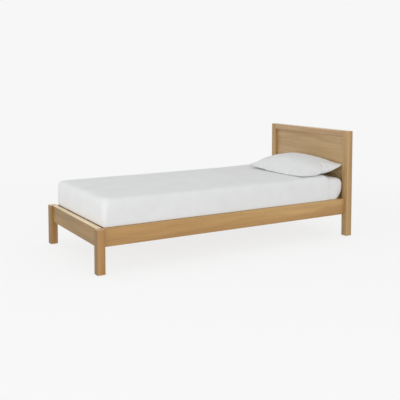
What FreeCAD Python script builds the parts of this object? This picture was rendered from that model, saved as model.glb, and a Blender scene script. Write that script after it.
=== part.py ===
import FreeCAD, Part
import math
import os

# A single panel bed in oak, made up with a mattress and one pillow. Millimetres.
# The origin is on the floor under the middle of the bed. +X is across the bed, towards the
# side seen in the picture, +Y runs from the foot to the headboard, and +Z is up.
# Right is the +X side and left is the -X side, as seen from the foot.

# ---- Driving sizes: the frame ----
bed_width = 970.0  # over the outer faces of the posts
bed_length = 2110.0  # over the outer faces of the posts
headboard_height = 820.0
post_size = 54.0  # square section of all four posts
post_easing = 2.0
rail_easing = 1.5
rail_top_height = 290.0  # upper edge of every rail and top of the foot posts
rail_height = 118.0
side_rail_thickness = 24.0
side_rail_inset = 28.0  # from the outer face of the post to the outer face of the side rail
foot_rail_thickness = 38.0  # flush with the posts on the mattress side
top_rail_height = 42.0  # headboard's top rail, as deep as the posts

# ---- Driving sizes: the headboard panel, held loose in grooves ----
panel_thickness = 14.0
panel_recess = 24.0  # from the front of the posts back to the panel's face
tongue_thickness = 8.0
groove_depth = 10.0
groove_clearance = 0.15  # beside the tongue, on each face
expansion_gap = 1.0  # room for the panel to swell, at its sides and its top
shoulder_gap = 0.3  # between the panel's shoulders and the frame round it

# ---- Driving sizes: mortise-and-tenon joints, foot and headboard rails to posts ----
tenon_thickness = 10.0
tenon_length = 32.0
tenon_setback = 30.0  # from the posts' mattress-side faces to the middle of the tenon
tenon_shoulder = 12.0  # wood above and below a tenon on the deep rails
top_tenon_shoulder = 8.0  # wood above the tenon on the headboard's top rail
tenon_groove_gap = 3.0  # wood between a tenon and the panel's groove
mortise_clearance = 0.1  # round the tenon
mortise_end_room = 1.0  # beyond the tenon's end

# ---- Driving sizes: knock-down fitting at each end of a side rail ----
stud_radius = 4.0
stud_in_post = 18.0
stud_tail = 5.0  # past the nut
stud_height = 42.0  # above the rail's lower edge
insert_radius = 6.0
insert_length = 20.0
thread_clearance = 0.1
stud_hole_clearance = 0.5
pocket_setback = 40.0  # from the rail's end to the pocket's flat wall
pocket_straight = 10.0  # length of the pocket's straight sides
pocket_floor = 4.0  # wood left between the pocket and the rail's outer face
pocket_clearance = 2.0  # round the half-moon washer
half_moon_radius = 17.0
half_moon_thickness = 3.0
half_moon_lip = 1.0  # washer's straight edge below the rail's inner face
nut_flats = 13.0
nut_thickness = 6.5
rail_dowel_radius = 5.0
rail_dowel_length = 40.0
rail_dowel_height = 92.0  # above the rail's lower edge
dowel_clearance = 0.1
dowel_end_room = 0.5

# ---- Driving sizes: the slatted base ----
slat_count = 14
slat_width = 70.0
slat_thickness = 18.0
slat_bevel = 3.0
slat_rise = 1.0  # top of the slats above the top of the rails, so they take the mattress
slat_end_gap = 2.0  # from a slat's end to the side rail
slat_edge_gap = 26.0  # from the end slats to the foot rail and the headboard
batten_width = 28.0
batten_height = 28.0
batten_easing = 3.0
batten_end_gap = 2.0
batten_screw_count = 3
batten_screw_margin = 100.0  # from the posts to the first screw
batten_screw_bite = 14.0  # length in the side rail
screw_radius = 2.0
screw_head_radius = 4.0
screw_head_rise = 2.0  # proud of the batten
screw_clearance = 0.2
webbing_width = 25.0
webbing_thickness = 1.0
webbing_offset = 60.0  # from the batten's inner face

# ---- Driving sizes: glides under the posts ----
glide_radius = 14.0
glide_height = 4.0
glide_bevel = 1.0

# ---- Driving sizes: the mattress and the pillow ----
mattress_side_setback = 7.0  # in from the side rail's outer face
mattress_end_gap = 3.0  # to the posts at its foot and its head
mattress_height = 186.0  # at the middle of its crown
mattress_crown_reach = 240.0  # how far in from the side the crown levels out
mattress_bottom_roll = 18.0
mattress_waist_share = 0.45  # height of the widest line, as a share of the thickness
mattress_roll_power = 2.0  # fullness of the lower edge's roll
mattress_side_power = 4.0  # how upright the sides stand
mattress_crown_power = 7.0  # how tightly the upper edge rolls over into the crown
mattress_corner_radius = 32.0
mattress_base_step = 30  # degrees of turn between the outlines of the lower edge
mattress_crown_step = 15  # the same from the waist to the crown
pillow_length = 684.0  # corner to corner, across the bed
pillow_depth = 412.0  # corner to corner, along the bed
pillow_draw_in = 10.0  # how far each long side pulls in between its corners
pillow_rise = 80.0  # seam to crown
pillow_belly = 37.0  # seam to underside
pillow_seam = 3.0  # thickness of the sewn edge
pillow_end_power = 2.0  # how far along its length the pillow stays full
pillow_crown_power = 0.28  # how steeply its ends close to the seam
pillow_tilt = 10.0  # degrees, headboard edge up
pillow_turn = 0.6  # degrees, seen from above
pillow_section_step = 12  # degrees of turn between the sections from end to end
pillow_seam_power = 4.0  # how late the long sides swing out to the corners
pillow_side_gap = 7.0  # from the right post's inner face to the pillow's end
pillow_back_gap = 20.0  # from the panel's face to the pillow's back corners
soft_clearance = 0.3

# ---- Sizes worked out from the driving ones ----
half_width = bed_width / 2
half_length = bed_length / 2
post_inner_x = half_width - post_size
post_inner_y = half_length - post_size
rail_bottom = rail_top_height - rail_height
side_rail_outer_x = half_width - side_rail_inset
side_rail_inner_x = side_rail_outer_x - side_rail_thickness
side_rail_middle_x = side_rail_outer_x - side_rail_thickness / 2
top_rail_bottom = headboard_height - top_rail_height
panel_middle_y = post_inner_y + panel_recess + panel_thickness / 2
stud_z = rail_bottom + stud_height
slat_top = rail_top_height + slat_rise
batten_top = slat_top - slat_thickness
batten_inner_x = side_rail_inner_x - batten_width
mattress_width = 2 * (side_rail_outer_x - mattress_side_setback)
mattress_length = 2 * (post_inner_y - mattress_end_gap)

LENGTHWISE = FreeCAD.Vector(0, 1, 0)
ACROSS = FreeCAD.Vector(1, 0, 0)
UP = FreeCAD.Vector(0, 0, 1)
FOOT = -1
HEAD = 1
SAME_DIRECTION = math.cos(math.radians(1))  # closer than one degree counts as parallel


def point(x, y, z):
    return FreeCAD.Vector(x, y, z)


def block(x_low, x_high, y_low, y_high, z_low, z_high):
    """A squared piece of timber between two corners."""
    corner = point(x_low, y_low, z_low)
    return Part.makeBox(x_high - x_low, y_high - y_low, z_high - z_low, corner)


def rod(start, direction, radius, length):
    return Part.makeCylinder(radius, length, start, direction)


def edges_along(shape, direction):
    """The straight edges that run along one direction."""
    found = []
    for edge in shape.Edges:
        run = edge.Vertexes[-1].Point.sub(edge.Vertexes[0].Point)
        if run.Length > 0 and abs(run.normalize().dot(direction)) > SAME_DIRECTION:
            found.append(edge)
    return found


def eased(shape, radius, *directions):
    """Rounds over every edge that runs along the given directions."""
    picked = []
    for direction in directions:
        picked.extend(edges_along(shape, direction))
    return shape.makeFillet(radius, picked)


def mirrored(shape):
    """The same piece on the other side of the bed."""
    return shape.mirror(point(0, 0, 0), ACROSS)


def save(name, solids):
    """Writes one node, as a single solid or a group of like pieces."""
    group = solids if isinstance(solids, list) else [solids]
    shape = group[0] if len(group) == 1 else Part.makeCompound(group)
    shape.exportStep(os.path.join("parts", name + ".step"))
    print(f"{name:26s} {len(shape.Solids):3d} solids, valid {shape.isValid()}")


# ---- Holes and hardware of the joints ----


def tenon(end, z_low, z_high, room_round=0, room_beyond=0):
    """A rail's tenon at both posts in one bar, or the bar that cuts its mortises when room is given."""
    reach = post_inner_x + tenon_length + room_beyond
    y = end * (post_inner_y + tenon_setback)
    half = tenon_thickness / 2 + room_round
    return block(-reach, reach, y - half, y + half, z_low - room_round, z_high + room_round)


def deep_tenon_heights():
    """Lower and upper edge of the tenons on the foot rail and the headboard's bottom rail."""
    return rail_bottom + tenon_shoulder, rail_top_height - groove_depth - tenon_groove_gap


def top_tenon_heights():
    return top_rail_bottom + groove_depth + tenon_groove_gap, headboard_height - top_tenon_shoulder


def mortises(end):
    """Cutters for the mortises in the posts at one end of the bed."""
    pairs = [deep_tenon_heights()]
    if end == HEAD:
        pairs.append(top_tenon_heights())
    return [tenon(end, low, high, mortise_clearance, mortise_end_room) for low, high in pairs]


def rail_ends():
    """The two ends of a side rail: where it meets the post, and which way the post lies."""
    return [(-post_inner_y, FOOT), (post_inner_y, HEAD)]


def rail_dowels(radius, length):
    """Locating dowels, or their holes, at both ends of the right side rail."""
    z = rail_bottom + rail_dowel_height
    starts = [point(side_rail_middle_x, joint_y - length / 2, z) for joint_y, _ in rail_ends()]
    return [rod(start, LENGTHWISE, radius, length) for start in starts]


def rail_dowel_holes():
    return rail_dowels(rail_dowel_radius + dowel_clearance, rail_dowel_length + 2 * dowel_end_room)


def along_stud(joint_y, outward, radius, from_post, into_rail):
    """A rod on the stud's axis, from a depth in the post to a depth in the rail."""
    low = min(joint_y + outward * from_post, joint_y - outward * into_rail)
    start = point(side_rail_middle_x, low, stud_z)
    return rod(start, LENGTHWISE, radius, from_post + into_rail)


def stud_reach():
    return pocket_setback + half_moon_thickness + nut_thickness + stud_tail


def pocket(joint_y, outward):
    """Half-moon pocket in the rail's inner face, flat towards the post and round behind."""
    wall_y = joint_y - outward * pocket_setback
    bend_y = wall_y - outward * pocket_straight
    radius = half_moon_radius + pocket_clearance
    low = point(side_rail_inner_x, wall_y, stud_z - radius)
    high = point(side_rail_inner_x, wall_y, stud_z + radius)
    bend_low = point(side_rail_inner_x, bend_y, stud_z - radius)
    bend_high = point(side_rail_inner_x, bend_y, stud_z + radius)
    crest = point(side_rail_inner_x, bend_y - outward * radius, stud_z)
    outline = [Part.makeLine(low, high), Part.makeLine(high, bend_high)]
    outline.append(Part.Arc(bend_high, crest, bend_low).toShape())
    outline.append(Part.makeLine(bend_low, low))
    face = Part.Face(Part.Wire(outline))
    return face.extrude(point(side_rail_thickness - pocket_floor, 0, 0))


def half_moon_washer(joint_y, outward):
    """Half-disc plate that spreads the nut's pull over the pocket's flat wall."""
    wall_y = joint_y - outward * pocket_setback
    mouth_x = side_rail_inner_x + half_moon_lip
    low = point(mouth_x, wall_y, stud_z - half_moon_radius)
    high = point(mouth_x, wall_y, stud_z + half_moon_radius)
    crest = point(mouth_x + half_moon_radius, wall_y, stud_z)
    outline = Part.Wire([Part.makeLine(low, high), Part.Arc(high, crest, low).toShape()])
    plate = Part.Face(outline).extrude(point(0, -outward * half_moon_thickness, 0))
    hole_radius = stud_radius + stud_hole_clearance
    return plate.cut(along_stud(joint_y, outward, hole_radius, 0, stud_reach()))


def stud_nut(joint_y, outward):
    """Hexagon nut, two of its flats facing the pocket's floor and its mouth."""
    seat_y = joint_y - outward * (pocket_setback + half_moon_thickness)
    corner_radius = nut_flats / 2 / math.cos(math.radians(30))
    corners = []
    for step in range(6):
        angle = math.radians(30 + 60 * step)
        x = side_rail_middle_x + corner_radius * math.cos(angle)
        corners.append(point(x, seat_y, stud_z + corner_radius * math.sin(angle)))
    outline = Part.makePolygon(corners + corners[:1])
    body = Part.Face(outline).extrude(point(0, -outward * nut_thickness, 0))
    return body.cut(along_stud(joint_y, outward, stud_radius + thread_clearance, 0, stud_reach()))


def stud_insert(joint_y, outward):
    """Threaded sleeve driven into the post."""
    sleeve = along_stud(joint_y, outward, insert_radius, insert_length, 0)
    return sleeve.cut(along_stud(joint_y, outward, stud_radius + thread_clearance, insert_length, 0))


# ---- Places that repeat ----


def batten_screw_heads():
    """Heads of the screws through the right batten, on its inner face."""
    first = -post_inner_y + batten_screw_margin
    pitch = -2 * first / (batten_screw_count - 1)
    z = batten_top - batten_height / 2
    return [point(batten_inner_x, first + pitch * step, z) for step in range(batten_screw_count)]


def batten_screws(radius, room_beyond=0):
    """Shanks of the screws through the right batten, or their holes in the rail when room is given."""
    length = batten_width + batten_screw_bite + room_beyond
    return [rod(head, ACROSS, radius, length) for head in batten_screw_heads()]


def slat_middles():
    """Middle of each slat along the bed."""
    first = -post_inner_y + slat_edge_gap + slat_width / 2
    pitch = -2 * first / (slat_count - 1)
    return [first + pitch * step for step in range(slat_count)]


def post_middles():
    """Centres of the right-hand posts at the foot and at the head."""
    x = half_width - post_size / 2
    y = half_length - post_size / 2
    return [point(x, -y, 0), point(x, y, 0)]


# ---- The posts ----


def glide(centre):
    """Stick-on plastic glide under one post, bevelled where it meets the floor."""
    low = point(centre.x, centre.y, 0)
    bevel = Part.makeCone(glide_radius - glide_bevel, glide_radius, glide_bevel, low, UP)
    return bevel.fuse(rod(low.add(UP * glide_bevel), UP, glide_radius, glide_height - glide_bevel))


def side_rail_holes_in_posts():
    """Insert and dowel holes for both ends of the right side rail."""
    holes = rail_dowel_holes()
    for joint_y, outward in rail_ends():
        radius = insert_radius + dowel_clearance
        holes.append(along_stud(joint_y, outward, radius, insert_length + dowel_end_room, 0))
    return holes


def post(centre, height, end):
    """A square post, eased on its long edges and round its top, bored and mortised for its rails."""
    half = post_size / 2
    timber = block(centre.x - half, centre.x + half, centre.y - half, centre.y + half, glide_height, height)
    timber = eased(timber, post_easing, UP)
    rim = [edge for edge in timber.Edges if edge.BoundBox.ZMin > height - post_easing / 2]
    timber = timber.makeChamfer(post_easing / 2, rim)
    return timber.cut(side_rail_holes_in_posts() + mortises(end))


def foot_post():
    return post(post_middles()[0], rail_top_height, FOOT)


def groove_half():
    return tongue_thickness / 2 + groove_clearance


def panel_groove():
    """The stopped groove round the panel: sides, top and bottom in one cutter."""
    reach_x = post_inner_x + groove_depth
    y_low = panel_middle_y - groove_half()
    y_high = panel_middle_y + groove_half()
    return block(-reach_x, reach_x, y_low, y_high, rail_top_height - groove_depth, top_rail_bottom + groove_depth)


def head_post():
    timber = post(post_middles()[1], headboard_height, HEAD)
    return timber.cut(panel_groove())


# ---- The rails ----


def side_rail():
    """The right side rail, with a pocket, a stud hole and two dowel holes at each end."""
    timber = block(
        side_rail_inner_x, side_rail_outer_x, -post_inner_y, post_inner_y, rail_bottom, rail_top_height
    )
    timber = eased(timber, rail_easing, LENGTHWISE)
    cutters = rail_dowel_holes()
    for joint_y, outward in rail_ends():
        cutters.append(pocket(joint_y, outward))
        radius = stud_radius + stud_hole_clearance
        cutters.append(along_stud(joint_y, outward, radius, 0, pocket_setback + half_moon_thickness))
    cutters += batten_screws(screw_radius + screw_clearance, screw_clearance)
    return timber.cut(cutters)


def foot_rail():
    y_high = -post_inner_y
    y_low = y_high - foot_rail_thickness
    timber = block(-post_inner_x, post_inner_x, y_low, y_high, rail_bottom, rail_top_height)
    timber = eased(timber, rail_easing, ACROSS)
    return timber.fuse(tenon(FOOT, *deep_tenon_heights()))


def headboard_rail(z_low, z_high, tenon_heights):
    """One of the two rails between the head posts, grooved for the panel and tenoned at its ends."""
    timber = block(-post_inner_x, post_inner_x, post_inner_y, half_length, z_low, z_high)
    timber = eased(timber, rail_easing, ACROSS)
    return timber.fuse(tenon(HEAD, *tenon_heights)).cut(panel_groove())


def headboard_panel():
    """Flat panel with a tongue all round; it stands in the bottom groove and can swell."""
    half_panel = panel_thickness / 2
    field = block(
        -post_inner_x + shoulder_gap,
        post_inner_x - shoulder_gap,
        panel_middle_y - half_panel,
        panel_middle_y + half_panel,
        rail_top_height + shoulder_gap,
        top_rail_bottom - shoulder_gap,
    )
    reach_x = post_inner_x + groove_depth - expansion_gap
    tongue = block(
        -reach_x,
        reach_x,
        panel_middle_y - tongue_thickness / 2,
        panel_middle_y + tongue_thickness / 2,
        rail_top_height - groove_depth,
        top_rail_bottom + groove_depth - expansion_gap,
    )
    return field.fuse(tongue)


# ---- The slatted base ----


def batten():
    """Ledger inside the right side rail, under the slats' ends, in one piece with its round-headed screws."""
    y_high = post_inner_y - batten_end_gap
    timber = block(batten_inner_x, side_rail_inner_x, -y_high, y_high, batten_top - batten_height, batten_top)
    lower_edge = []
    for edge in edges_along(timber, LENGTHWISE):
        middle = edge.CenterOfMass
        if middle.x < side_rail_inner_x - batten_width / 2 and middle.z < batten_top - batten_height / 2:
            lower_edge.append(edge)
    timber = timber.makeFillet(batten_easing, lower_edge)
    starts = [head.sub(ACROSS * screw_head_rise) for head in batten_screw_heads()]
    heads = [rod(start, ACROSS, screw_head_radius, screw_head_rise) for start in starts]
    return timber.fuse(heads + batten_screws(screw_radius))


def slat(middle_y):
    """One cross slat, its long upper edges bevelled for the mattress."""
    half_x = side_rail_inner_x - slat_end_gap
    y_low = middle_y - slat_width / 2
    timber = block(-half_x, half_x, y_low, y_low + slat_width, batten_top, slat_top)
    upper = [edge for edge in edges_along(timber, ACROSS) if edge.CenterOfMass.z > slat_top - slat_bevel]
    return timber.makeChamfer(slat_bevel, upper)


def webbing():
    """Woven tape under the slats that keeps them at their spacing; the right-hand one."""
    x_high = batten_inner_x - webbing_offset
    y_high = slat_middles()[-1] + slat_width / 2
    return block(x_high - webbing_width, x_high, -y_high, y_high, batten_top - webbing_thickness, batten_top)


# ---- The mattress and the pillow ----


def rounded_rectangle(half_x, half_y, radius, z):
    """A closed outline of four lines and four quarter arcs."""
    diagonal = radius * (1 - math.cos(math.radians(45)))
    edges = []
    corners = [(1, 1), (-1, 1), (-1, -1), (1, -1)]
    for index, (sign_x, sign_y) in enumerate(corners):
        on_side = point(sign_x * half_x, sign_y * (half_y - radius), z)
        on_end = point(sign_x * (half_x - radius), sign_y * half_y, z)
        middle = point(sign_x * (half_x - diagonal), sign_y * (half_y - diagonal), z)
        start, stop = (on_side, on_end) if index % 2 == 0 else (on_end, on_side)
        edges.append(Part.Arc(start, middle, stop).toShape())
        next_x, next_y = corners[(index + 1) % 4]
        if index % 2 == 0:
            following = point(next_x * (half_x - radius), next_y * half_y, z)
        else:
            following = point(next_x * half_x, next_y * (half_y - radius), z)
        edges.append(Part.makeLine(stop, following))
    return Part.Wire(edges)


def mattress_outline():
    """Pairs of inset from the widest line and height above the base, from the base to the crown."""
    waist = mattress_height * mattress_waist_share
    pairs = []
    for angle in range(90, 0, -mattress_base_step):
        turn = math.radians(angle)
        inset = mattress_bottom_roll * (1 - math.cos(turn) ** (2 / mattress_roll_power))
        pairs.append((inset, waist * (1 - math.sin(turn) ** (2 / mattress_side_power))))
    for angle in range(0, 91, mattress_crown_step):
        turn = math.radians(angle)
        inset = mattress_crown_reach * (1 - math.cos(turn) ** (2 / mattress_crown_power))
        rise = (mattress_height - waist) * math.sin(turn) ** (2 / mattress_side_power)
        pairs.append((inset, waist + rise))
    return pairs


def mattress():
    """Soft block, its sides swelling at the waist and rolling over into a crowned top."""
    base = slat_top + soft_clearance
    sections = []
    for inset, height in mattress_outline():
        half_x = mattress_width / 2 - inset
        half_y = mattress_length / 2 - inset
        sections.append(rounded_rectangle(half_x, half_y, mattress_corner_radius, base + height))
    return Part.makeLoft(sections, True, True)


def pillow_section(share):
    """Lens-shaped outline across the pillow at a share of its half length, -1 to 1."""
    fullness = (1 - abs(share) ** pillow_end_power) ** pillow_crown_power
    half_depth = pillow_depth / 2 - pillow_draw_in * (1 - abs(share) ** pillow_seam_power)
    x = share * pillow_length / 2
    half_seam = pillow_seam / 2
    crest = half_seam + max(pillow_rise * fullness, pillow_seam)
    trough = -half_seam - max(pillow_belly * fullness, pillow_seam)
    front_high = point(x, -half_depth, half_seam)
    back_high = point(x, half_depth, half_seam)
    front_low = point(x, -half_depth, -half_seam)
    back_low = point(x, half_depth, -half_seam)
    edges = [Part.Arc(front_high, point(x, 0, crest), back_high).toShape()]
    edges.append(Part.makeLine(back_high, back_low))
    edges.append(Part.Arc(back_low, point(x, 0, trough), front_low).toShape())
    edges.append(Part.makeLine(front_low, front_high))
    return Part.Wire(edges)


def pillow():
    """Plump pillow with pointed corners, tipped up towards the headboard, lying on the mattress."""
    shares = [math.sin(math.radians(angle)) for angle in range(-90, 91, pillow_section_step)]
    shape = Part.makeLoft([pillow_section(share) for share in shares], True, True)
    shape.rotate(point(0, 0, 0), ACROSS, pillow_tilt)
    shape.rotate(point(0, 0, 0), UP, pillow_turn)
    mattress_top = slat_top + soft_clearance + mattress_height
    drop = shape.optimalBoundingBox(False).ZMin
    middle_x = post_inner_x - pillow_side_gap - pillow_length / 2
    half_run = pillow_depth / 2 * math.cos(math.radians(pillow_tilt))
    middle_y = post_inner_y + panel_recess - pillow_back_gap - half_run
    shape.translate(point(middle_x, middle_y, mattress_top + soft_clearance - drop))
    return shape


def both_sides(shapes):
    """The given right-hand pieces and the same again on the left."""
    return list(shapes) + [mirrored(shape) for shape in shapes]


def main():
    os.makedirs("parts", exist_ok=True)
    pairs = {
        "foot_post": foot_post(),
        "head_post": head_post(),
        "side_rail": side_rail(),
        "slat_batten": batten(),
        "slat_webbing": webbing(),
    }
    for name, shape in pairs.items():
        save(name + "_right", shape)
        save(name + "_left", mirrored(shape))
    save("foot_rail", foot_rail())
    save("headboard_top_rail", headboard_rail(top_rail_bottom, headboard_height, top_tenon_heights()))
    save("headboard_bottom_rail", headboard_rail(rail_bottom, rail_top_height, deep_tenon_heights()))
    save("headboard_panel", headboard_panel())
    for number, middle_y in enumerate(slat_middles(), 1):
        save(f"slat_{number:02d}", slat(middle_y))
    save("side_rail_dowels", both_sides(rail_dowels(rail_dowel_radius, rail_dowel_length)))
    ends = rail_ends()
    studs = [along_stud(y, out, stud_radius, stud_in_post, stud_reach()) for y, out in ends]
    save("rail_studs", both_sides(studs))
    save("stud_inserts", both_sides([stud_insert(y, out) for y, out in ends]))
    save("half_moon_washers", both_sides([half_moon_washer(y, out) for y, out in ends]))
    save("stud_nuts", both_sides([stud_nut(y, out) for y, out in ends]))
    save("post_glides", both_sides([glide(centre) for centre in post_middles()]))
    save("mattress", mattress())
    save("pillow", pillow())


main()
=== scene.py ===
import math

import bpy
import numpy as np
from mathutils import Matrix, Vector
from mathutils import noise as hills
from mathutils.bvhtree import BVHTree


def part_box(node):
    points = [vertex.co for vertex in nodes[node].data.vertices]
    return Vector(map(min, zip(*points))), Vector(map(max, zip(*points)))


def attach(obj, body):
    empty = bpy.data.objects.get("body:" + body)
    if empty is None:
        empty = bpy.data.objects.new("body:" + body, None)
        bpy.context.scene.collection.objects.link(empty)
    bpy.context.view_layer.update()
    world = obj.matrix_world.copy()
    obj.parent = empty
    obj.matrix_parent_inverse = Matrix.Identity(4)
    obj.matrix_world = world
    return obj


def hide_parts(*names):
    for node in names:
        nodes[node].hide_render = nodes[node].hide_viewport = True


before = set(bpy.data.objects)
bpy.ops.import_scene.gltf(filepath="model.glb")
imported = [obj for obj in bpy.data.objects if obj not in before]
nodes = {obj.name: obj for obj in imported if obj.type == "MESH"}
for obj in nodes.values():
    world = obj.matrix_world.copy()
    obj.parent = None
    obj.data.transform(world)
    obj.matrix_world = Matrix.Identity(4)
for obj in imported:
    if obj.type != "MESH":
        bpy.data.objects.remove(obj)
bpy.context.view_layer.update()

# %% [markdown]
# # A single panel bed in oak
# The packed model is already in the scene: every rail, post, slat and screw is an
# object at its real size, in metres, with the floor at Z = 0 and the headboard at +Y.
# This lesson dresses it. It keeps all the rigid timber as it is and only gives it
# finishes, and it makes the two soft pieces, the mattress in its fitted sheet and the
# pillow, again as cloth.

# %% [markdown]
# ## The camera
# The bed was photographed from beyond its foot and to its right, from about the height
# of a chest, looking slightly down. Its nearest corner is 4.3 m away, so the lines along
# the bed run together only a little. A wide lens close by would splay them. The object
# sits in the middle of the frame although the camera looks over it, so the lens is
# shifted downwards instead of the camera being tipped down more.

# %% Place the camera
camera_place = Vector((4.36357, -2.59674, 1.26025))
camera_heading = 0.531759  # radians, from straight across the bed round towards the headboard
camera_pitch = math.radians(4.0)  # looking down
lens_length, film_width = 60.7, 36.0  # millimetres
film_shift = -0.1973  # as a share of the film's width

camera_data = bpy.data.cameras.new("studio_camera")
camera = bpy.data.objects.new("studio_camera", camera_data)
bpy.context.scene.collection.objects.link(camera)
bpy.context.scene.camera = camera
view_line = Vector(
    (
        -math.cos(camera_pitch) * math.cos(camera_heading),
        math.cos(camera_pitch) * math.sin(camera_heading),
        -math.sin(camera_pitch),
    )
)
camera.location = camera_place
camera.rotation_euler = view_line.to_track_quat("-Z", "Y").to_euler()
camera_data.sensor_width = film_width
camera_data.lens = lens_length
camera_data.shift_y = film_shift
print("camera looks along", [round(v, 3) for v in view_line])

# %% [markdown]
# ## The studio
# The photograph has an even, nearly white ground that runs up into the background with
# no seam. A sheet of pale card swept up behind the bed would do that. Here the floor is
# one large plain sheet, and the world behind it has the same pale tone where the camera
# or a mirror-like surface looks at it. For soft light the world is a dimmer, cooler sky.

# %% Lay the floor
paper_white = 0.93  # the tone of the paper and of the background
paper_glow = 0.82  # how much of the paper is seen evenly lit; the rest shows the shadow
near_lift = 1.03  # evens out the lit part near the bed
fade_start, fade_end = 1.6, 4.5  # metres from the bed over which the paper turns to background


def principled(name, colour, roughness=0.5):
    """A new material and its main shader, plainly coloured to start with."""
    material = bpy.data.materials.new(name)
    material.use_nodes = True
    shader = material.node_tree.nodes["Principled BSDF"]
    shader.inputs["Base Color"].default_value = (*colour, 1.0)
    shader.inputs["Roughness"].default_value = roughness
    return material, shader


def mesh_object(name, points, faces, material=None):
    """An object from corner points and faces, in metres, in the bed's own frame."""
    mesh = bpy.data.meshes.new(name)
    mesh.from_pydata([tuple(p) for p in points], [], faces)
    mesh.update()
    piece = bpy.data.objects.new(name, mesh)
    bpy.context.scene.collection.objects.link(piece)
    if material:
        mesh.materials.append(material)
    return piece


floor_reach = 40.0
floor_corners = [(-floor_reach, -floor_reach, 0), (floor_reach, -floor_reach, 0)]
floor_corners += [(floor_reach, floor_reach, 0), (-floor_reach, floor_reach, 0)]
floor_paper, floor_shader = principled("studio_paper", (paper_white,) * 3, 0.9)
floor_shader.inputs["Specular IOR Level"].default_value = 0.1
floor = mesh_object("studio_floor", floor_corners, [(0, 1, 2, 3)], floor_paper)
print("floor is", 2 * floor_reach, "m across")

# %% A helper for wiring materials


class Wires:
    """Adds nodes to one node tree and joins them, a line of code for each."""

    def __init__(self, owner):
        self.tree = owner.node_tree

    def add(self, kind, **settings):
        made = self.tree.nodes.new("ShaderNode" + kind)
        for setting, value in settings.items():
            setattr(made, setting, value)
        return made

    def join(self, start, end):
        self.tree.links.new(start, end)

    def maths(self, operation, first, second=0.0, third=0.0):
        """One sum: each term is a number or the output of another node."""
        term = self.add("Math", operation=operation)
        for socket, value in zip(term.inputs, (first, second, third)):
            if isinstance(value, bpy.types.NodeSocket):
                self.join(value, socket)
            else:
                socket.default_value = value
        return term.outputs[0]

    def looked_at(self):
        """1 where the camera, a reflection or glass looks at the surface, 0 for soft light."""
        path = self.add("LightPath")
        seen = self.maths("MAXIMUM", path.outputs["Is Camera Ray"], path.outputs["Is Glossy Ray"])
        return self.maths("MAXIMUM", seen, path.outputs["Is Transmission Ray"])


print("to wire with:", [name for name in vars(Wires) if not name.startswith("_")])

# %% Let the floor fade into the background
w = Wires(floor_paper)
spot = w.add("NewGeometry")
from_bed = w.add("VectorMath", operation="LENGTH")
w.join(spot.outputs["Position"], from_bed.inputs[0])
far_off = w.add("MapRange", interpolation_type="SMOOTHSTEP")
far_off.inputs["From Min"].default_value = fade_start
far_off.inputs["From Max"].default_value = fade_end
w.join(from_bed.outputs["Value"], far_off.inputs["Value"])
glow_share = w.maths("MULTIPLY_ADD", far_off.outputs["Result"], 1 - paper_glow, paper_glow)
glow = w.add("Emission")
glow.inputs["Color"].default_value = (paper_white, paper_white, paper_white, 1.0)
lift = w.maths("MULTIPLY_ADD", far_off.outputs["Result"], 1 - near_lift, near_lift)
w.join(lift, glow.inputs["Strength"])
blend = w.add("MixShader")
w.join(w.maths("MULTIPLY", glow_share, w.looked_at()), blend.inputs["Fac"])
w.join(floor_shader.outputs["BSDF"], blend.inputs[1])
w.join(glow.outputs["Emission"], blend.inputs[2])
w.join(blend.outputs["Shader"], floor_paper.node_tree.nodes["Material Output"].inputs["Surface"])
print("the floor fades out from", fade_start, "to", fade_end, "m")

# %% Light the studio
sky_tone, sky_strength = (0.98, 0.99, 1.0), 0.72  # soft light from all round
lamp_width, lamp_height = 4.0, 3.0
lamps = {  # where each lamp stands, what it faces and its watts
    "key_softbox": ((6.6, -2.6, 3.2), (0, 0, 0.3), 102),
    "fill_softbox": ((1.2, -7.6, 2.4), (0, -0.6, 0.3), 98),
}
world = bpy.data.worlds.new("studio_world")
bpy.context.scene.world = world
world.use_nodes = True
world.node_tree.nodes.clear()
w = Wires(world)


def world_light(colour, strength):
    """An even light or backdrop of one colour."""
    light = w.add("Background")
    light.inputs["Color"].default_value = (*colour, 1.0)
    light.inputs["Strength"].default_value = strength
    return light.outputs["Background"]


choose = w.add("MixShader")
w.join(w.looked_at(), choose.inputs["Fac"])
w.join(world_light(sky_tone, sky_strength), choose.inputs[1])
w.join(world_light((paper_white,) * 3, 1.0), choose.inputs[2])
w.join(choose.outputs["Shader"], w.add("OutputWorld").inputs["Surface"])


def softbox(name, place, target, power):
    """A large flat lamp at one place, turned to face another."""
    lamp = bpy.data.lights.new(name, "AREA")
    lamp.shape = "RECTANGLE"
    lamp.size = lamp_width
    lamp.size_y = lamp_height
    lamp.energy = power
    holder = bpy.data.objects.new(name, lamp)
    bpy.context.scene.collection.objects.link(holder)
    holder.location = place
    aim = Vector(target) - Vector(place)
    holder.rotation_euler = aim.to_track_quat("-Z", "Y").to_euler()


for lamp_name, (lamp_place, lamp_target, watts) in lamps.items():
    softbox(lamp_name, lamp_place, lamp_target, watts)
print("lamps:", ", ".join(lamps))

# %% [markdown]
# ## Oak
# The timber is pale oak under a satin lacquer. What the eye reads as oak is, from the
# largest to the smallest: broad lighter and darker streaks that run with the board,
# the growth rings cut lengthwise, and short dark pores like pencil strokes. A picture
# of oak would stretch or repeat on so many boards, so each finish is worked out from the
# point's own place on the bed: noise drawn out along the board gives streaks, rings and
# pores at their true size, and every board runs its grain along its own length.

# %% Helpers for patterns


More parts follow.
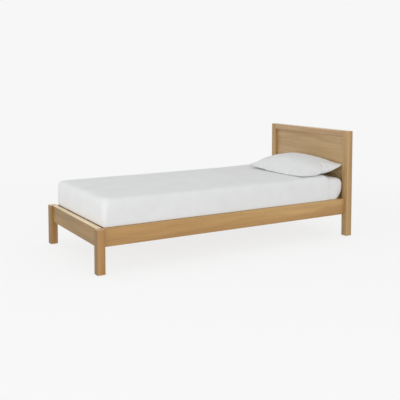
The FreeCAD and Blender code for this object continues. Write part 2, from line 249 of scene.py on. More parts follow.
class Pattern(Wires):
    """The same for a surface: patterns in the piece's own space, tones and relief."""

    def place(self, scale, offset=(0, 0, 0)):
        """The point's own place on the bed, stretched and moved."""
        here = self.add("TexCoord")
        stretch = self.add("Mapping")
        stretch.inputs["Scale"].default_value = scale
        stretch.inputs["Location"].default_value = offset
        self.join(here.outputs["Object"], stretch.inputs["Vector"])
        return stretch.outputs["Vector"]

    def noise(self, where, detail=2.0, roughness=0.5, distortion=0.0):
        """Cloudy noise of one cell per unit of the given place."""
        cloud = self.add("TexNoise")
        cloud.inputs["Scale"].default_value = 1.0
        cloud.inputs["Detail"].default_value = detail
        cloud.inputs["Roughness"].default_value = roughness
        cloud.inputs["Distortion"].default_value = distortion
        self.join(where, cloud.inputs["Vector"])
        return cloud.outputs["Fac"]

    def ramp(self, amount, *stops):
        """A soft scale of tones: each stop is a place from 0 to 1 and a colour or a grey."""
        scale = self.add("ValToRGB")
        points = scale.color_ramp.elements
        while len(points) < len(stops):
            points.new(0.5)
        for point, (spot, tone) in zip(points, stops):
            point.position = spot
            grey = isinstance(tone, (int, float))
            point.color = (tone, tone, tone, 1.0) if grey else (*tone, 1.0)
        self.join(amount, scale.inputs["Fac"])
        return scale.outputs["Color"]

    def mix(self, amount, first, second, blend="MIX"):
        """One tone laid over another by an amount."""
        blender = self.add("Mix", data_type="RGBA", blend_type=blend)
        ins = [s for s in blender.inputs if s.enabled]
        outs = [s for s in blender.outputs if s.enabled]
        for socket, value in zip(ins, (amount, first, second)):
            if isinstance(value, bpy.types.NodeSocket):
                self.join(value, socket)
            elif isinstance(value, tuple):
                socket.default_value = (*value, 1.0)
            else:
                socket.default_value = value
        return outs[0]

    def bump(self, height, strength, distance, onto=None):
        """Fine relief, up to a distance in metres, alone or on top of another."""
        relief = self.add("Bump")
        relief.inputs["Strength"].default_value = strength
        relief.inputs["Distance"].default_value = distance
        self.join(height, relief.inputs["Height"])
        if onto is not None:
            self.join(onto, relief.inputs["Normal"])
        return relief.outputs["Normal"]


print("patterns:", [name for name in vars(Pattern) if not name.startswith("_")])

# %% Colours, and who wears them


def srgb(red, green, blue):
    """A colour read off a screen, 0 to 255, as the light that it stands for."""
    steps = []
    for value in (red, green, blue):
        v = value / 255
        steps.append(v / 12.92 if v <= 0.04045 else ((v + 0.055) / 1.055) ** 2.4)
    return tuple(steps)


def dress(material, *names):
    """Gives one finish to the named pieces of the bed."""
    for piece_name in names:
        slots = nodes[piece_name].data.materials
        slots.clear()
        slots.append(material)
    print(f"{material.name}: {len(names)} pieces")


print("a middle grey on the screen:", [round(v, 3) for v in srgb(128, 128, 128)])

# %% The oak itself
# The patterns in the wood: cells per metre across the board and along it, detail,
# roughness and distortion.
STREAKS = (14.0, 0.7, 4.0, 0.6, 0.4)
RINGS = (75.0, 1.8, 6.0, 0.65, 0.8)
FIBRE = (420.0, 9.0, 3.0, 0.7, 0.0)
PORES = (900.0, 38.0, 2.0, 0.5, 0.0)
STREAK_SHARE, RING_SHARE, FIBRE_SHARE = 1.3, 0.7, 0.2  # how much each one moves the tone
PORE_DARKNESS, PORE_STRENGTH = 0.55, 0.4
GRAIN_DEPTH = 0.0004
LACQUER_ROUGHNESS = 0.28
PLAIN = (1, 1, 1)  # leaves a side's colour as it is


def oak(name, grain, light, dark, seed, figure=1.0, gloss=0.42, painted_foot_shade=PLAIN, upper=PLAIN, lacquer=0.3):
    """Wood with its grain along x, y or z, between a light and a dark tone, under some lacquer."""
    light, dark = srgb(*light), srgb(*dark)
    material, shader = principled(name, light, gloss)
    w = Pattern(material)
    shift = (seed * 1.7, seed * 2.3, seed * 3.1)

    def drawn_out(across, along, detail, roughness, distortion):
        """Noise that is drawn out along the board."""
        scale = [across] * 3
        scale["xyz".index(grain)] = along
        return w.noise(w.place(scale, shift), detail, roughness, distortion)

    streaks, rings = drawn_out(*STREAKS), drawn_out(*RINGS)
    fibre, pores = drawn_out(*FIBRE), drawn_out(*PORES)

    tone = w.maths("MULTIPLY_ADD", streaks, STREAK_SHARE * figure, 0.5 - STREAK_SHARE / 2 * figure)
    for pattern, weight in ((rings, RING_SHARE * figure), (fibre, FIBRE_SHARE)):
        tone = w.maths("ADD", tone, w.maths("MULTIPLY_ADD", pattern, weight, -weight / 2))
    colour = w.ramp(tone, (0.2, dark), (0.8, light))
    pore_mask = w.ramp(pores, (0.60, 0.0), (0.72, 1.0))
    pore_tone = tuple(PORE_DARKNESS * c for c in dark)
    colour = w.mix(w.maths("MULTIPLY", pore_mask, PORE_STRENGTH), colour, pore_tone)
    facing = w.add("SeparateXYZ")
    w.join(w.add("TexCoord").outputs["Normal"], facing.inputs[0])
    # painted light and shade: the wood's colour is multiplied by one colour on the sides that face the foot,
    # as painted shade, and by another on the tops, as a painted sheen
    to_foot = w.maths("MAXIMUM", w.maths("MULTIPLY", facing.outputs["Y"], -1.0), 0.0)
    upwards = w.maths("MAXIMUM", facing.outputs["Z"], 0.0)
    for share, painted_light_tint in ((to_foot, painted_foot_shade), (upwards, upper)):
        colour = w.mix(share, colour, w.mix(1.0, colour, painted_light_tint, "MULTIPLY"))
    w.join(colour, shader.inputs["Base Color"])

    relief = w.maths("SUBTRACT", w.maths("MULTIPLY", fibre, 0.4), w.maths("MULTIPLY", pore_mask, 0.8))
    w.join(w.bump(relief, 0.35, GRAIN_DEPTH), shader.inputs["Normal"])
    sheen = w.ramp(rings, (0.2, gloss - 0.06), (0.8, gloss + 0.10))
    w.join(sheen, shader.inputs["Roughness"])
    coat = w.maths("MULTIPLY_ADD", upwards, lacquer * 0.7, lacquer * 0.3)
    w.join(coat, shader.inputs["Coat Weight"])
    shader.inputs["Coat Roughness"].default_value = LACQUER_ROUGHNESS
    return material


print("streaks are drawn out", round(STREAKS[0] / STREAKS[1]), "times along a board")

# %% Boards of the bed
# The tops of the boards are painted lighter, a painted sheen of light from above, and the sides
# that face the foot of the bed are painted darker, as painted shade, so each of these is a
# colour that the wood is multiplied by.
# painted sheen: the colour that the wood on the tops is multiplied by
on_top = (1.3, 1.45, 1.7)
side_rail_finish = {
    "grain": "y", "light": (192, 149, 90), "dark": (164, 122, 71), "seed": 1,
    "painted_foot_shade": (0.72, 0.74, 0.74), "upper": on_top,
}
foot_post_finish = {
    "grain": "z", "light": (184, 141, 86), "dark": (162, 118, 66), "seed": 2, "figure": 1.8,
    "painted_foot_shade": (0.55, 0.54, 0.30), "upper": (1.3, 1.5, 1.9),
}
head_post_finish = {
    "grain": "z", "light": (200, 164, 112), "dark": (174, 136, 88), "seed": 9, "figure": 1.8,
    "painted_foot_shade": (0.85, 0.85, 0.85), "upper": on_top,
}
# the foot rail's top is painted much lighter, a painted sheen, and its foot side darker, painted shade
foot_rail_finish = {
    "grain": "x", "light": (168, 134, 86), "dark": (142, 110, 66), "seed": 3, "figure": 1.6,
    "painted_foot_shade": (0.88, 0.81, 0.46), "upper": (2.6, 3.5, 6.0), "lacquer": 0.5,
}
headboard_rail_finish = {
    "grain": "x", "light": (194, 161, 120), "dark": (168, 134, 93), "seed": 4, "figure": 1.8,
    "upper": on_top,
}
panel_finish = {
    "grain": "x", "light": (202, 172, 128), "dark": (176, 144, 100), "seed": 5, "figure": 2.0,
}
oak_side = oak("oak_side_rail", **side_rail_finish)
dress(oak_side, "side_rail_right", "side_rail_left")
dress(oak("oak_foot_post", **foot_post_finish), "foot_post_right", "foot_post_left")
dress(oak("oak_head_post", **head_post_finish), "head_post_right", "head_post_left")
dress(oak("foot_rail_oak", **foot_rail_finish), "foot_rail")
dress(oak("oak_headboard_rail", **headboard_rail_finish), "headboard_top_rail", "headboard_bottom_rail")
dress(oak("oak_headboard_panel", **panel_finish), "headboard_panel")

# %% A paler upper edge on the side rails
sapwood_height = 0.232  # middle height of the line between heartwood and sapwood, in metres
sapwood_start, sapwood_end = -0.75, 0.75  # where along the bed it sets in, and is full
sapwood_tone = (1.24, 1.36, 1.48)
waver_size, waver_height = 1.9, 0.09  # waves per metre along the rail, and their height
edge_sharpness = 10.0  # the tone ramp spans a tenth of a metre; its stops use 28 mm of that


def pale_edge(material):
    """Sapwood along a rail's upper edge: paler above a wavering line, more so from start to end."""
    w = Pattern(material)
    shader = material.node_tree.nodes["Principled BSDF"]
    before = shader.inputs["Base Color"].links[0].from_socket
    spot = w.add("SeparateXYZ")
    w.join(w.place((1, 1, 1)), spot.inputs[0])
    waver = w.noise(w.place((0.0, waver_size, 0.0), (0.0, 4.6, 0.0)), 3.0)
    line = w.maths("MULTIPLY_ADD", waver, -waver_height, spot.outputs["Z"])
    middle = 0.5 - edge_sharpness * (sapwood_height - waver_height / 2)
    above = w.ramp(w.maths("MULTIPLY_ADD", line, edge_sharpness, middle), (0.36, 0.0), (0.64, 1.0))
    along = w.add("MapRange", interpolation_type="SMOOTHSTEP")
    along.inputs["From Min"].default_value = sapwood_start
    along.inputs["From Max"].default_value = sapwood_end
    w.join(spot.outputs["Y"], along.inputs["Value"])
    share = w.maths("MULTIPLY", above, along.outputs["Result"])
    paler = w.mix(1.0, before, sapwood_tone, "MULTIPLY")
    w.join(w.mix(share, before, paler), shader.inputs["Base Color"])


pale_edge(oak_side)
print("sapwood from y =", sapwood_start, "m to the headboard")

# %% [markdown]
# ## What lies under the mattress
# The slats and their ledgers are planed pine, paler and yellower than the oak, with no
# lacquer, so they are dull. A pattern drawn out along the board suits pine as well as
# oak, so the same helper makes it. The screws are part of the ledgers, and only their
# round heads stand out of the wood, so their place tells which surface is steel. The
# tapes are woven, the dowels are beech, the fittings are zinc-plated steel and the glides
# are grey plastic. They are seen from below or with the mattress lifted.

# %% Pine and beech
pine_tones = {"light": (226, 196, 146), "dark": (205, 165, 110), "gloss": 0.62, "lacquer": 0.0}
beech_tones = {"light": (214, 178, 140), "dark": (196, 156, 116), "gloss": 0.6, "lacquer": 0.0}
ledger_face = 0.4048  # metres from the bed's middle; only screw heads are nearer to it
head_tone, head_shine = (0.60, 0.61, 0.62), 0.28

pine = oak("planed_pine", "x", seed=6, **pine_tones)
pine_ledger = oak("pine_ledger", "y", seed=7, **pine_tones)
beech = oak("beech_dowel", "y", seed=8, figure=0.6, **beech_tones)


def steel_heads(material):
    """Turns what stands out of the ledgers, nearer to the bed's middle, into steel."""
    w = Pattern(material)
    shader = material.node_tree.nodes["Principled BSDF"]
    spot = w.add("SeparateXYZ")
    w.join(w.place((1, 1, 1)), spot.inputs[0])
    head = w.maths("LESS_THAN", w.maths("ABSOLUTE", spot.outputs["X"]), ledger_face)
    wood = shader.inputs["Base Color"].links[0].from_socket
    w.join(w.mix(head, wood, head_tone), shader.inputs["Base Color"])
    dull = shader.inputs["Roughness"].links[0].from_socket
    w.join(w.maths("MULTIPLY_ADD", head, -head_shine, dull), shader.inputs["Roughness"])
    w.join(head, shader.inputs["Metallic"])


steel_heads(pine_ledger)
slat_names = sorted(n for n in nodes if n.startswith("slat_") and n[5:].isdigit())
dress(pine, *slat_names)
dress(pine_ledger, "slat_batten_right", "slat_batten_left")
dress(beech, "side_rail_dowels")

# %% Tape, steel and plastic
tape_warp, tape_weft = 260.0, 180.0  # threads and ribs, as scales of the wave pattern
crystals, grit_size = (90, 90, 90), (900, 900, 900)  # cells per metre


def woven_tape():
    """Off-white tape: fine warp threads along it and slightly coarser ribs across."""
    material, shader = principled("woven_tape", srgb(214, 211, 200), 0.85)
    w = Pattern(material)
    warp = w.add("TexWave", wave_type="BANDS", bands_direction="X")
    weft = w.add("TexWave", wave_type="BANDS", bands_direction="Y")
    for band, scale in ((warp, tape_warp), (weft, tape_weft)):
        band.inputs["Scale"].default_value = scale
        w.join(w.place((1, 1, 1)), band.inputs["Vector"])
    cloth = w.maths("MULTIPLY", warp.outputs["Fac"], weft.outputs["Fac"])
    w.join(w.ramp(cloth, (0.0, srgb(188, 184, 172)), (1.0, srgb(222, 219, 209))), shader.inputs["Base Color"])
    w.join(w.bump(cloth, 0.5, 0.0005), shader.inputs["Normal"])
    return material


def zinc_steel():
    """Bright zinc with the faint cloudy crystals of the plating."""
    material, shader = principled("plated_steel", (0.62, 0.63, 0.64), 0.32)
    shader.inputs["Metallic"].default_value = 1.0
    w = Pattern(material)
    cloud = w.noise(w.place(crystals), 3.0)
    w.join(w.ramp(cloud, (0.3, (0.50, 0.51, 0.52)), (0.7, (0.68, 0.69, 0.70))), shader.inputs["Base Color"])
    w.join(w.ramp(cloud, (0.3, 0.26), (0.7, 0.42)), shader.inputs["Roughness"])
    return material


def glide_plastic():
    """Grey moulded plastic with a fine sparked texture."""
    material, shader = principled("grey_plastic", srgb(160, 156, 150), 0.55)
    w = Pattern(material)
    grit = w.noise(w.place(grit_size))
    w.join(w.ramp(grit, (0.3, srgb(150, 146, 140)), (0.7, srgb(170, 166, 160))), shader.inputs["Base Color"])
    w.join(w.bump(grit, 0.3, 0.0003), shader.inputs["Normal"])
    return material


dress(woven_tape(), "slat_webbing_right", "slat_webbing_left")
dress(zinc_steel(), "rail_studs", "stud_inserts", "half_moon_washers", "stud_nuts")
dress(glide_plastic(), "post_glides")

# %% [markdown]
# ## The mattress in its fitted sheet
# A foam block, its sides slightly swollen, its upper edge rolled over and its top gently
# crowned, with a white cotton sheet drawn tight over it. It could be sculpted by hand, or
# a plain box could be rounded with a bevel, but neither has the slow roll of the edge.
# Here a net of nearly even squares is laid over the shape: a flat grid for the top and one
# for the base, with rows of squares between them that go up the side. The shape of the
# side is the one curve that matters, so it's written as small functions of its own.

# %% Measure the block and describe its side
mattress_low, mattress_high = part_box("mattress")
mattress_size = mattress_high - mattress_low
half_x, half_y, thickness = mattress_size.x / 2, mattress_size.y / 2, mattress_size.z
waist = 0.45 * thickness  # height of the widest line
crown_reach = 0.24  # how far in from the side the top still rises
crown_power = 14  # how tightly the upper edge turns
base_roll = 0.006  # how far the base lies in from the widest line
# Where people sit to get in, the upright edge by the foot has gone soft towards its top.
corner_at_base, corner_on_top = 0.012, 0.045  # its radii
other_corners = 0.014  # radius of the three other upright edges
print("mattress, mm:", [round(1000 * v) for v in mattress_size])


def smoothstep(low, high, value):
    """0 below low, 1 above high, and a soft step between them."""
    t = min(max((value - low) / (high - low), 0.0), 1.0)
    return t * t * (3 - 2 * t)


def side_below(turn):
    """Inset and height on the lower half of the side: turn 1 is the base, 0 the widest line."""
    angle = turn * math.pi / 2
    return base_roll * (1 - math.cos(angle)), waist * (1 - math.sin(angle) ** 0.5)


def side_above(turn):
    """The same on the upper half: turn 0 is the widest line, 1 the middle of the crown."""
    angle = turn * math.pi / 2
    inset = crown_reach * (1 - max(math.cos(angle), 0.0) ** (2 / crown_power))
    return inset, waist + (thickness - waist) * math.sin(angle) ** 0.5


def crown_height(inset):
    """Height of the top at a distance in from the widest line."""
    left_over = 1 - min(max(inset / crown_reach, 0.0), 1.0)
    return waist + (thickness - waist) * (1 - left_over**crown_power) ** 0.25


# %% Places of the net on the rounded block
square = 0.0155  # size of one square of the net
rows_below, rows_above = 4, 8  # rows of squares on the side, below and above the widest line
edge_turn = 0.62  # how far the side's rows go round the upper edge; the top grid takes over there
bunching = 0.18  # how much closer together the lines are towards the ends
columns = round(2 * half_x / square)
rows = round(2 * half_y / square)


def corner_radius(x, y, height=None):
    """Radius of the upright edge nearest to a point; without a height, that of its top."""
    if x > 0 and y < 0:
        share = 1.0 if height is None else min(height / thickness, 1.0)
        return corner_at_base + (corner_on_top - corner_at_base) * share
    return other_corners


def rounded_place(u, v, inset, height):
    """A point of the flat grid, u and v from -1 to 1, inside the block's rounded outline."""
    y = v * (half_y - inset)
    radius = corner_radius(u, v, height)
    past = min(max(abs(y) - (half_y - inset - radius), 0.0), radius)
    cut_in = radius - math.sqrt(radius**2 - past**2)
    return u * (half_x - inset - cut_in), y


def distance_in(x, y):
    """How far a point lies inside the block's rounded outline."""
    radius = corner_radius(x, y)
    over_x = abs(x) - (half_x - radius)
    over_y = abs(y) - (half_y - radius)
    if over_x > 0 and over_y > 0:
        return radius - math.hypot(over_x, over_y)
    return -max(over_x, over_y) + radius


def spaced(count, bunched):
    """Places from -1 to 1, closer together towards the ends."""
    even = [2 * k / count - 1 for k in range(count + 1)]
    return [bunched * math.sin(math.pi / 2 * place) + (1 - bunched) * place for place in even]


print("squares along and across:", rows, columns)

# %% Join the grids and the rows of the side


def mattress_net():
    """Points and squares of the whole block, with the middle of its base at the origin."""
    points, faces = [], []
    top_inset = side_above(edge_turn)[0]
    across, along = spaced(columns, bunching), spaced(rows, bunching)

    def grid(inset, level, height_of):
        """A flat sheet of points; gives the number of its first one."""
        first = len(points)
        for v in along:
            for u in across:
                x, y = rounded_place(u, v, inset, level)
                points.append((x, y, height_of(x, y)))
        return first

    top = grid(top_inset, thickness, lambda x, y: crown_height(distance_in(x, y)))
    base = grid(base_roll, 0.0, lambda x, y: 0.0)
    wide = columns + 1
    for j in range(rows):
        for i in range(columns):
            a = j * wide + i
            faces.append((top + a, top + a + 1, top + a + 1 + wide, top + a + wide))
            faces.append((base + a, base + a + wide, base + a + 1 + wide, base + a + 1))
    rim = [i for i in range(columns)] + [j * wide + columns for j in range(rows)]
    rim += [rows * wide + i for i in range(columns, 0, -1)] + [j * wide for j in range(rows, 0, -1)]
    steps = [side_below(1 - k / rows_below) for k in range(1, rows_below + 1)]
    steps += [side_above(edge_turn * k / (rows_above + 1)) for k in range(1, rows_above + 1)]
    rings = [[base + r for r in rim]]
    for inset, height in steps:
        rings.append([])
        for r in rim:
            x, y = rounded_place(across[r % wide], along[r // wide], inset, height)
            rings[-1].append(len(points))
            points.append((x, y, height))
    rings.append([top + r for r in rim])
    for low, high in zip(rings, rings[1:]):
        for k in range(len(rim)):
            after = (k + 1) % len(rim)
            faces.append((low[k], low[after], high[after], high[k]))
    return points, faces


mattress_points, mattress_faces = mattress_net()
mattress = mesh_object("mattress_in_sheet", mattress_points, mattress_faces)
print("net:", len(mattress_points), "points,", len(mattress_faces), "squares")

# %% [markdown]
# ## The sheet's own life
# A tight sheet is never quite flat. Pulled between four corners, it has broad shallow
# swells and sinks in a little behind the mattress's long edges. Wrinkles fan out from the
# corners, the elastic in the hem gathers a few small puckers, and a soft fold runs out
# from under the pillow. At the head, the sheet's corner pockets pull the foam's edge down.
# All of this is a matter of millimetres, so it's done by moving the net's own points,
# mostly straight out of or into the surface, with noise of the real waves' size.

# %% Waves and folds
def wave(x, y, z, size, seed):
    """Smooth noise from -1 to 1 whose hills are about one size apart, in metres."""
    return hills.noise(Vector((x / size + 13.7 * seed, y / size + 5.1 * seed, z / size + 9.3 * seed)))


def way_round(x, y):
    """Distance walked round the block's outline, in metres."""
    if abs(abs(x) - half_x) < abs(abs(y) - half_y):
        return y if x > 0 else 2 * half_y + half_x * 2 - y
    return half_y + half_x - x if y > 0 else -half_y - half_x + x


def fold_line(x, y, start, end, width):
    """1 along the middle of a soft fold between two places of the top, fading out around it."""
    run_x, run_y = end[0] - start[0], end[1] - start[1]
    share = ((x - start[0]) * run_x + (y - start[1]) * run_y) / (run_x**2 + run_y**2)
    share = min(max(share, 0.0), 1.0)
    away = math.hypot(x - start[0] - share * run_x, y - start[1] - share * run_y)
    return math.exp(-((away / width) ** 2)) * math.sin(math.pi * (0.1 + 0.8 * share))


long_side = way_round(half_x, half_y) - way_round(half_x, -half_y)
print("one long side is", round(long_side, 3), "m")

# %% Swells, dips, wrinkles and puckers, all in metres
swell_height, swell_size, swell_level = 0.0014, 0.33, 0.0006
ripple_height, ripple_size = 0.0008, 0.11  # on the sides only
dip_depth, dip_size = 0.0060, 0.5  # behind the long edges
long_fold_height, long_fold_size = 0.0013, 0.30
fold_depth, fold_width = 0.0045, 0.017
fold_start, fold_end = (-0.20, 0.46), (-0.02, 0.63)  # from the open sheet to under the pillow's front
fan_height, fan_reach = 0.0016, 0.34  # wrinkles that fan out from the corners
fan_count = 5.0  # wrinkles in a radian
pucker_height, pucker_near_corner = 0.0045, 0.007
pucker_width, pucker_rise, pucker_start = 0.034, 0.20, 0.28


def dip_behind_edge(x, y):
    """Deepest about 0.14 m in from the long edges, none under the pillow."""
    from_side = half_x - abs(x)
    dip = smoothstep(0.03, 0.13, from_side) - 0.8 * smoothstep(0.15, 0.36, from_side)
    dip *= (0.9 + 0.5 * wave(x, y, 0.0, dip_size, 4)) * smoothstep(0.02, 0.25, half_y + y)
    return dip * smoothstep(0.30, 0.52, half_y - y)


def corner_fan(x, y, z):
    """Wrinkles that run out from the nearest corner and die away."""
    corner = math.hypot(half_x - abs(x), half_y - abs(y))
    angle = math.atan2(half_y - abs(y), half_x - abs(x) + 0.6 * (thickness - z))
    fan = hills.noise(Vector((fan_count * angle, corner / 0.35, 4.4)))
    return fan * smoothstep(0.01, 0.06, corner) * (1 - smoothstep(0.10, fan_reach, corner))


def hem_pucker(x, y, z):
    """Small gathers above the hem, deeper near the corners."""
    corner = math.hypot(half_x - abs(x), half_y - abs(y))
    gathers = pucker_height + pucker_near_corner * (1 - smoothstep(0.05, 0.22, corner))
    ripple = hills.noise(Vector((way_round(x, y) / pucker_width, z / pucker_rise, 2.2)))
    return gathers * max(ripple - pucker_start, 0.0) * (1 - smoothstep(0.01, 0.06, z))


def sheet_move(x, y, z):
    """How far the sheet stands out of the plain block at one point."""
    inside = distance_in(x, y)
    side = 1 - smoothstep(0.0, 0.06, inside)
    swell = swell_height * wave(x, y, z, swell_size, 1) - swell_level
    swell += side * ripple_height * wave(x, y, z * 0.6, ripple_size, 3)
    long_folds = wave(x * 4.0 - 0.5 * y, y * 0.35, 0.0, long_fold_size, 5) * smoothstep(0.03, 0.12, inside)
    swell -= fold_depth * fold_line(x, y, fold_start, fold_end, fold_width) * smoothstep(0.03, 0.1, inside)
    swell += fan_height * corner_fan(x, y, z) - dip_depth * dip_behind_edge(x, y)
    return swell + long_fold_height * long_folds + side * hem_pucker(x, y, z)


print("the sheet sinks in by about", round(1000 * dip_depth), "mm behind its edges")

# %% The corner pockets at the head
pocket_start, pocket_end = 0.128, 0.160  # metres from the head over which the step runs
pocket_depth, pocket_in = 0.0125, 0.0050
head_slope, bulge_height = 0.007, 0.0060  # the edge sinks at the head and stands up before the step
tuck_in, tuck_up, tuck_reach = 0.014, 0.020, 0.075  # the corner's base, drawn in and up


def pocket_move(x, y, z):
    """How the corner pockets pull the foam's edge down and in, behind a soft step."""
    from_head = half_y - y
    from_side = half_x - abs(x)
    high = smoothstep(0.3, 1.0, z / thickness)
    near_side = 1 - smoothstep(0.10, 0.30, from_side)
    pocket = 1 - smoothstep(pocket_start, pocket_end, from_head)
    down = -head_slope * high * (1 - smoothstep(0.03, 0.19, from_head))
    down -= pocket_depth * pocket * near_side * high
    down += bulge_height * (1 - pocket) * (1 - smoothstep(0.30, 0.62, from_head)) * near_side * high
    into = pocket_in * pocket * near_side * (1 - 0.6 * high)
    tucked = 1 - smoothstep(0.0, tuck_reach, math.hypot(from_head, from_side))
    tucked *= 1 - smoothstep(0.0, 0.06, z)
    return Vector((-math.copysign(into + tuck_in * tucked, x), -tuck_in * tucked, down + tuck_up * tucked))


outward = [vertex.normal.copy() for vertex in mattress.data.vertices]
for vertex, direction in zip(mattress.data.vertices, outward):
    x, y, z = vertex.co
    vertex.co += direction * sheet_move(x, y, z) * smoothstep(0.0, 0.022, z) + pocket_move(x, y, z)
mattress_middle = (mattress_low + mattress_high) / 2
mattress.data.transform(Matrix.Translation((mattress_middle.x, mattress_middle.y, mattress_low.z)))
print("the sheet has its waves")

# %% White cotton
weave = 1400.0  # scale of the wave pattern for the threads
shade = 0.955  # the cotton's darker clouds, as a share of its tone
cloud_cells, crease_cells = (7, 7, 7), (9, 9, 9)  # cells per metre
crease_depth, thread_depth = 0.004, 0.0002  # metres


def cotton(name, tone, crease):
    """White cotton percale: dull, with a hair of sheen, a fine weave and soft small creases."""
    material, shader = principled(name, tone, 0.86)
    shader.inputs["Sheen Weight"].default_value = 0.12
    shader.inputs["Sheen Roughness"].default_value = 0.5
    shader.inputs["Specular IOR Level"].default_value = 0.25
    w = Pattern(material)
    clouds = w.noise(w.place(cloud_cells), 3.0, 0.55)
    darker = tuple(shade * c for c in tone)
    w.join(w.ramp(clouds, (0.3, darker), (0.7, tone)), shader.inputs["Base Color"])
    warp = w.add("TexWave", wave_type="BANDS", bands_direction="X")
    weft = w.add("TexWave", wave_type="BANDS", bands_direction="Y")
    up = w.add("TexWave", wave_type="BANDS", bands_direction="Z")
    here = w.place((1, 1, 1))
    for band in (warp, weft, up):
        band.inputs["Scale"].default_value = weave
        w.join(here, band.inputs["Vector"])
    threads = w.maths("ADD", warp.outputs["Fac"], weft.outputs["Fac"])
    threads = w.maths("ADD", threads, up.outputs["Fac"])
    creases = w.noise(w.place(crease_cells), 4.0, 0.5, 0.5)
    soft = w.bump(creases, crease, crease_depth)
    w.join(w.bump(threads, 0.12, thread_depth, soft), shader.inputs["Normal"])
    return material


def finish_cloth(piece, material):
    """Gives a soft piece its cotton and rounds off its net."""
    piece.data.materials.append(material)
    for face in piece.data.polygons:
        face.use_smooth = True
    smooth = piece.modifiers.new("smooth_net", "SUBSURF")
    smooth.levels = smooth.render_levels = 1


finish_cloth(mattress, cotton("tight_sheet", (0.805, 0.808, 0.802), crease=0.22))
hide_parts("mattress")
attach(mattress, "mattress_body")
print("mattress piece rides on mattress_body")

# %% [markdown]
# ## The pillow
# Two panels of cotton sewn together all round and filled: full in the middle, with its
# corners left as flat points. Its outline was measured, so its form is written as a
# function of the place on the panel. Small creases that run in from the seam are harder
# to write down. Air blown into such a bag makes them, when its cloth has a little length
# to spare. So cloth simulation blows the bag up for a moment, the swelling is left out,
# and only the creases are kept. Then the pillow is turned and laid down, and its
# underside is pressed to the shape of the mattress below it.

# %% The form of the pillow
pillow_length, pillow_depth = 0.693, 0.440
pillow_rise, pillow_belly = 0.0868, 0.0469  # from the seam to the crown and to the underside
end_power, end_power_below = 0.539, 0.32  # how steeply the ends close to the seam
front_power, back_power, power_below = 2.7, 4, 2.17  # how full it stays towards the long sides
lean = 0.148  # the crown lies towards the front
bulge, bulge_place, bulge_size = 0.014, (0.80, -0.30), (0.14, 0.45)  # filling pushed to the near end
flat_corner = 0.3
ear_cut, ear_lift = 0.0118, 0.0151  # the corners are rounded a little and curl up
draw_in_end, draw_in_side = 0.0112, 0.0137  # how far the sides pull in between the corners
front_drop = 0.0101  # the seam sinks towards the mattress along the front
pillow_roll = 0.0065  # the end by the near side lies this much lower than the middle
panel_gap = 0.001  # keeps the two panels apart inside the seam
pillow_square = 0.0065
seam_bunching = 0.25
cells_long = round(pillow_length / pillow_square)
cells_deep = round(pillow_depth / pillow_square)


def pillow_height(u, v, side):
    """Height of the filled case, above or below its middle plane, at a place of the outline."""
    lengthwise = max(1 - u * u, 0.0)
    if side > 0:
        power = front_power if v < 0 else back_power
        full = pillow_rise * lengthwise**end_power * (1 - abs(v) ** power) * (1 - lean * v)
        off_u, off_v = ((value - at) / size for value, at, size in zip((u, v), bulge_place, bulge_size))
        full += bulge * math.exp(-(off_u**2) - off_v**2)
    else:
        full = -pillow_belly * lengthwise**end_power_below * (1 - abs(v) ** power_below)
    ear = abs(u * v) ** 3
    seam = ear_lift * ear - front_drop * max(-v, 0.0) ** 2 * (1 - u**4) - pillow_roll * u
    return full * (1 - flat_corner * ear) + seam


def pillow_place(u, v):
    """A point of the pillow's flat outline: its long sides pull in between the corners."""
    x = u * (pillow_length / 2 - draw_in_end * (1 - v**2))
    y = v * (pillow_depth / 2 - draw_in_side * (1 - u**4))
    ear = ear_cut * abs(u * v) ** 5
    return x - math.copysign(ear, u), y - math.copysign(ear, v)


print("crown of the empty form, mm:", round(1000 * pillow_height(0, 0, 1)))

# %% Sew the two panels together


def pillow_net():
    """Both panels as one bag, joined along the seam."""
    points, faces = [], []
    index = {}
    across, along = spaced(cells_long, seam_bunching), spaced(cells_deep, seam_bunching)

    def corner_point(i, j, side):
        """Number of one corner of the net; both panels share those of the seam."""
        edge = i in (0, cells_long) or j in (0, cells_deep)
        key = (i, j, 0 if edge else side)
        if key not in index:
            u, v = across[i], along[j]
            x, y = pillow_place(u, v)
            index[key] = len(points)
            points.append((x, y, pillow_height(u, v, side) + (0.0 if edge else side * panel_gap)))
        return index[key]

    for i in range(cells_long):
        for j in range(cells_deep):
            quad = [(i, j), (i + 1, j), (i + 1, j + 1), (i, j + 1)]
            faces.append([corner_point(a, b, 1) for a, b in quad])
            faces.append([corner_point(a, b, -1) for a, b in reversed(quad)])
    return points, faces


pillow_points, pillow_faces = pillow_net()
pillow = mesh_object("pillow_in_case", pillow_points, pillow_faces)
print("pillow bag:", len(pillow_points), "points")

# %% Blow it up for its creases
air_pressure, air_frames = 4.0, 20
spare_cloth = 0.05  # share of length that the cloth has to spare
cloth_stiffness = {
    "tension_stiffness": 18,
    "compression_stiffness": 18,
    "shear_stiffness": 12,
    "bending_stiffness": 0.1,
}
even_rounds = 60  # how often the move is averaged to find its slow part, the swelling
crease_share, crease_limit = 0.7, 0.008  # how much of a crease is kept, and at most, in metres


def neighbours_mean(values, pairs, counts):
    """Each point's value averaged over the points that it is joined to."""
    total = np.zeros_like(values)
    np.add.at(total, pairs[:, 0], values[pairs[:, 1]])
    np.add.at(total, pairs[:, 1], values[pairs[:, 0]])
    return total / counts[:, None]


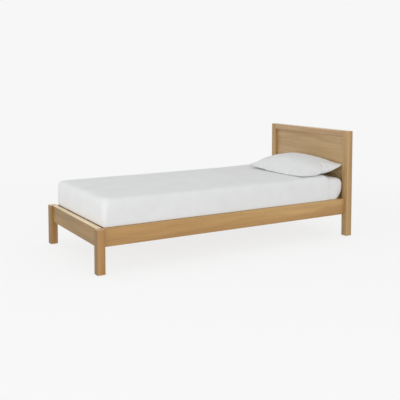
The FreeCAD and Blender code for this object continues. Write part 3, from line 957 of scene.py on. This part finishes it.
def blow_up(piece):
    """Air pressed into a bag of cloth that has some length to spare: how each point moves."""
    cloth = piece.modifiers.new("air", "CLOTH")
    settings = cloth.settings
    settings.quality = 6
    settings.mass = 0.2
    for kind, value in cloth_stiffness.items():
        setattr(settings, kind, value)
    settings.use_pressure = True
    settings.uniform_pressure_force = air_pressure
    settings.shrink_min = -spare_cloth
    settings.effector_weights.gravity = 0.0
    cloth.collision_settings.use_self_collision = False
    cloth.point_cache.frame_start, cloth.point_cache.frame_end = 1, air_frames
    before = np.array([v.co for v in piece.data.vertices])
    for number in range(1, air_frames + 1):
        bpy.context.scene.frame_set(number)
    blown = piece.evaluated_get(bpy.context.evaluated_depsgraph_get())
    after = np.array([v.co for v in blown.data.vertices])
    piece.modifiers.remove(cloth)
    bpy.context.scene.frame_set(1)
    return after - before


def keep_creases(piece, move):
    """Moves the points by a share of the creases of a simulated move, and leaves out its swelling."""
    pairs = np.array([e.vertices[:] for e in piece.data.edges])
    counts = np.bincount(pairs.ravel(), minlength=len(move)).astype(float)
    slow = move.copy()
    for _ in range(even_rounds):
        slow = 0.5 * slow + 0.5 * neighbours_mean(slow, pairs, counts)
    kept = crease_share * (move - slow)
    size = np.linalg.norm(kept, axis=1)
    kept *= np.minimum(1.0, crease_limit / np.maximum(size, 1e-9))[:, None]
    for vertex, step in zip(piece.data.vertices, kept):
        vertex.co += Vector(step)
    piece.data.update()
    farthest = np.linalg.norm(move, axis=1).max()
    print(f"{piece.name}: blown up by {1000 * farthest:.1f} mm, creases of {1000 * size.mean():.2f} mm")


keep_creases(pillow, blow_up(pillow))

# %% Lay it on the mattress
pillow_sink = 0.0145  # how far the underside would sink in before it is pressed flat
lies_at = Vector((0.0867, 0.8080, mattress_high.z - pillow_sink))
pillow_tilt, pillow_turn = math.radians(7.8), math.radians(0.6)  # leaning back, seen from above
rest_gap, rest_softness = 0.0008, 0.004  # from the mattress, and over which the pressing starts

turn = Matrix.Rotation(pillow_turn, 4, "Z") @ Matrix.Rotation(pillow_tilt, 4, "X")
pillow.data.transform(turn)
lowest = min(vertex.co.z for vertex in pillow.data.vertices)
pillow.data.transform(Matrix.Translation(lies_at - Vector((0, 0, lowest))))


def surface_under(piece):
    """Gives a function for the height of a piece's upper surface, with nothing beyond its edge."""
    corners = [vertex.co for vertex in piece.data.vertices]
    shape = BVHTree.FromPolygons(corners, [face.vertices for face in piece.data.polygons])

    def height(x, y):
        """Found by a ray from high above, straight down."""
        spot = shape.ray_cast(Vector((x, y, 2.0)), Vector((0, 0, -1)))[0]
        return spot.z if spot else None

    return height


def press_onto(piece, height):
    """Flattens the underside of a piece where it rests, with a soft start to the flat part."""
    pressed = 0
    for vertex in piece.data.vertices:
        under = height(vertex.co.x, vertex.co.y)
        if under is None:
            continue
        over = vertex.co.z - under - rest_gap
        if over < rest_softness:
            vertex.co.z = under + rest_gap + (max(over + rest_softness, 0.0) ** 2) / (4 * rest_softness)
            pressed += 1
    piece.data.update()
    print(f"{piece.name}: {pressed} points rest on the mattress")


press_onto(pillow, surface_under(mattress))
finish_cloth(pillow, cotton("pillow_case", (0.795, 0.796, 0.790), crease=0.35))
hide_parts("pillow")
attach(pillow, "pillow_body")

# %% [markdown]
# ## Finish
# The scene shows its colours through the plain standard view transform.

# %% Show the colours plainly
bpy.context.scene.view_settings.view_transform = "Standard"
